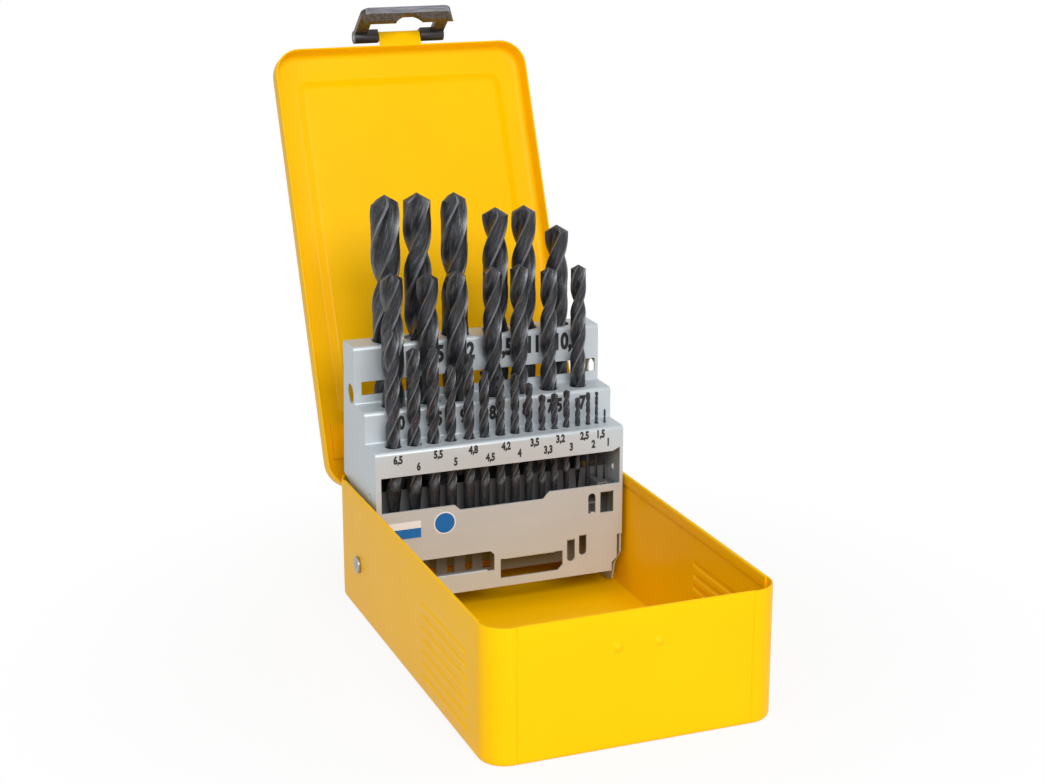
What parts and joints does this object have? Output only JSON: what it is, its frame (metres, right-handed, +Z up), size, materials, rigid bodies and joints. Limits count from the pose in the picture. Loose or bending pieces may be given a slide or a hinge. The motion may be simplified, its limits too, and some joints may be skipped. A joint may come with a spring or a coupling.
{
  "type": "drill bit case",
  "caption": "Sheet-metal case for twist drills: a hinged lid lifts a stepped stand of drill bits out of the tray and a clip latches the lid to the front wall.",
  "frame": {"origin": "centre of the tray's underside", "axes": "+Z up, +X across the case to the right seen from the front, -Y towards the front"},
  "size_m": [0.1238, 0.289, 0.2551],
  "materials": {
    "yellow_paint": "gloss enamel",
    "stand_steel": "bright zinc-plated sheet",
    "zinc_plate": "zinc-plated",
    "rivet_steel": "bright",
    "drill_steel": "black oxide",
    "clip_plastic": "semi-gloss",
    "sticker_pale": "satin film",
    "sticker_blue": "satin film"
  },
  "bodies": {
    "case_base": {"base_tray": "yellow_paint", "hinge_leaf_base": "zinc_plate", "hinge_pin": "rivet_steel", "hinge_rivets": "rivet_steel", "pivot_rivets": "rivet_steel", "pivot_spacers": "rivet_steel"},
    "lid": {"lid_shell": "yellow_paint", "hinge_leaf_lid": "yellow_paint", "lid_lug_left": "yellow_paint", "lid_lug_right": "yellow_paint", "latch_pin": "rivet_steel"},
    "latch": {"latch_clip": "clip_plastic"},
    "stand": {"stand_sheet": "stand_steel", "cheek_left": "stand_steel", "cheek_right": "stand_steel", "front_guide": "stand_steel", "rear_guide": "stand_steel", "front_shelf": "stand_steel", "middle_shelf": "stand_steel", "back_shelf": "stand_steel", "link_studs": "rivet_steel", "label_plain": "sticker_pale", "label_disc": "sticker_blue"},
    "lift_links": {"lift_link_left": "zinc_plate", "lift_link_right": "zinc_plate"},
    "bit_6_5": {"bit_6_5": "drill_steel"},
    "bit_6_0": {"bit_6_0": "drill_steel"},
    "bit_5_5": {"bit_5_5": "drill_steel"},
    "bit_5_0": {"bit_5_0": "drill_steel"},
    "bit_4_8": {"bit_4_8": "drill_steel"},
    "bit_4_5": {"bit_4_5": "drill_steel"},
    "bit_4_2": {"bit_4_2": "drill_steel"},
    "bit_4_0": {"bit_4_0": "drill_steel"},
    "bit_3_5": {"bit_3_5": "drill_steel"},
    "bit_3_3": {"bit_3_3": "drill_steel"},
    "bit_3_2": {"bit_3_2": "drill_steel"},
    "bit_3_0": {"bit_3_0": "drill_steel"},
    "bit_2_5": {"bit_2_5": "drill_steel"},
    "bit_2_0": {"bit_2_0": "drill_steel"},
    "bit_1_5": {"bit_1_5": "drill_steel"},
    "bit_1_0": {"bit_1_0": "drill_steel"},
    "bit_10_0": {"bit_10_0": "drill_steel"},
    "bit_9_5": {"bit_9_5": "drill_steel"},
    "bit_9_0": {"bit_9_0": "drill_steel"},
    "bit_8_5": {"bit_8_5": "drill_steel"},
    "bit_8_0": {"bit_8_0": "drill_steel"},
    "bit_7_5": {"bit_7_5": "drill_steel"},
    "bit_7_0": {"bit_7_0": "drill_steel"},
    "bit_13_0": {"bit_13_0": "drill_steel"},
    "bit_12_5": {"bit_12_5": "drill_steel"},
    "bit_12_0": {"bit_12_0": "drill_steel"},
    "bit_11_5": {"bit_11_5": "drill_steel"},
    "bit_11_0": {"bit_11_0": "drill_steel"},
    "bit_10_5": {"bit_10_5": "drill_steel"}
  },
  "joints": [
    {"name": "lid_hinge", "type": "hinge", "parent": "case_base", "child": "lid", "pos_m": [0, 0.101, 0.0525], "axis": [-1, 0, 0], "range_deg": [-112.4, 0]},
    {"name": "stand_tilt", "type": "hinge", "parent": "case_base", "child": "stand", "pos_m": [0, 0.0648, 0.0235], "axis": [-1, 0, 0], "range_deg": [-90, 0]},
    {"name": "link_pivot", "type": "hinge", "parent": "stand", "child": "lift_links", "pos_m": [0, 0.06944, 0.04363], "axis": [1, 0, 0], "range_deg": [-94.7, 0]},
    {"name": "latch_pivot", "type": "hinge", "parent": "lid", "child": "latch", "pos_m": [0, 0.18393, 0.24005], "axis": [-1, 0, 0], "range_deg": [-17, 80]},
    {"name": "bit_6_5_pull", "type": "slide", "parent": "stand", "child": "bit_6_5", "axis": [0, 0, 1], "range_m": [0, 0.0518]},
    {"name": "bit_6_0_pull", "type": "slide", "parent": "stand", "child": "bit_6_0", "axis": [0, 0, 1], "range_m": [0, 0.0518]},
    {"name": "bit_5_5_pull", "type": "slide", "parent": "stand", "child": "bit_5_5", "axis": [0, 0, 1], "range_m": [0, 0.0518]},
    {"name": "bit_5_0_pull", "type": "slide", "parent": "stand", "child": "bit_5_0", "axis": [0, 0, 1], "range_m": [0, 0.0518]},
    {"name": "bit_4_8_pull", "type": "slide", "parent": "stand", "child": "bit_4_8", "axis": [0, 0, 1], "range_m": [0, 0.0518]},
    {"name": "bit_4_5_pull", "type": "slide", "parent": "stand", "child": "bit_4_5", "axis": [0, 0, 1], "range_m": [0, 0.0518]},
    {"name": "bit_4_2_pull", "type": "slide", "parent": "stand", "child": "bit_4_2", "axis": [0, 0, 1], "range_m": [0, 0.0518]},
    {"name": "bit_4_0_pull", "type": "slide", "parent": "stand", "child": "bit_4_0", "axis": [0, 0, 1], "range_m": [0, 0.0518]},
    {"name": "bit_3_5_pull", "type": "slide", "parent": "stand", "child": "bit_3_5", "axis": [0, 0, 1], "range_m": [0, 0.0518]},
    {"name": "bit_3_3_pull", "type": "slide", "parent": "stand", "child": "bit_3_3", "axis": [0, 0, 1], "range_m": [0, 0.0518]},
    {"name": "bit_3_2_pull", "type": "slide", "parent": "stand", "child": "bit_3_2", "axis": [0, 0, 1], "range_m": [0, 0.0518]},
    {"name": "bit_3_0_pull", "type": "slide", "parent": "stand", "child": "bit_3_0", "axis": [0, 0, 1], "range_m": [0, 0.047]},
    {"name": "bit_2_5_pull", "type": "slide", "parent": "stand", "child": "bit_2_5", "axis": [0, 0, 1], "range_m": [0, 0.047]},
    {"name": "bit_2_0_pull", "type": "slide", "parent": "stand", "child": "bit_2_0", "axis": [0, 0, 1], "range_m": [0, 0.0371]},
    {"name": "bit_1_5_pull", "type": "slide", "parent": "stand", "child": "bit_1_5", "axis": [0, 0, 1], "range_m": [0, 0.0284]},
    {"name": "bit_1_0_pull", "type": "slide", "parent": "stand", "child": "bit_1_0", "axis": [0, 0, 1], "range_m": [0, 0.0308]},
    {"name": "bit_10_0_pull", "type": "slide", "parent": "stand", "child": "bit_10_0", "axis": [0, 0, 1], "range_m": [0, 0.0767]},
    {"name": "bit_9_5_pull", "type": "slide", "parent": "stand", "child": "bit_9_5", "axis": [0, 0, 1], "range_m": [0, 0.0701]},
    {"name": "bit_9_0_pull", "type": "slide", "parent": "stand", "child": "bit_9_0", "axis": [0, 0, 1], "range_m": [0, 0.0701]},
    {"name": "bit_8_5_pull", "type": "slide", "parent": "stand", "child": "bit_8_5", "axis": [0, 0, 1], "range_m": [0, 0.0617]},
    {"name": "bit_8_0_pull", "type": "slide", "parent": "stand", "child": "bit_8_0", "axis": [0, 0, 1], "range_m": [0, 0.0617]},
    {"name": "bit_7_5_pull", "type": "slide", "parent": "stand", "child": "bit_7_5", "axis": [0, 0, 1], "range_m": [0, 0.0563]},
    {"name": "bit_7_0_pull", "type": "slide", "parent": "stand", "child": "bit_7_0", "axis": [0, 0, 1], "range_m": [0, 0.0563]},
    {"name": "bit_13_0_pull", "type": "slide", "parent": "stand", "child": "bit_13_0", "axis": [0, 0, 1], "range_m": [0, 0.0894]},
    {"name": "bit_12_5_pull", "type": "slide", "parent": "stand", "child": "bit_12_5", "axis": [0, 0, 1], "range_m": [0, 0.0894]},
    {"name": "bit_12_0_pull", "type": "slide", "parent": "stand", "child": "bit_12_0", "axis": [0, 0, 1], "range_m": [0, 0.0894]},
    {"name": "bit_11_5_pull", "type": "slide", "parent": "stand", "child": "bit_11_5", "axis": [0, 0, 1], "range_m": [0, 0.0894]},
    {"name": "bit_11_0_pull", "type": "slide", "parent": "stand", "child": "bit_11_0", "axis": [0, 0, 1], "range_m": [0, 0.0894]},
    {"name": "bit_10_5_pull", "type": "slide", "parent": "stand", "child": "bit_10_5", "axis": [0, 0, 1], "range_m": [0, 0.0894]}
  ],
  "couplings": [
    {"joint": "stand_tilt", "follows": "lid_hinge", "ratio": 0.8007},
    {"joint": "link_pivot", "follows": "lid_hinge", "ratio": 0.8425}
  ]
}
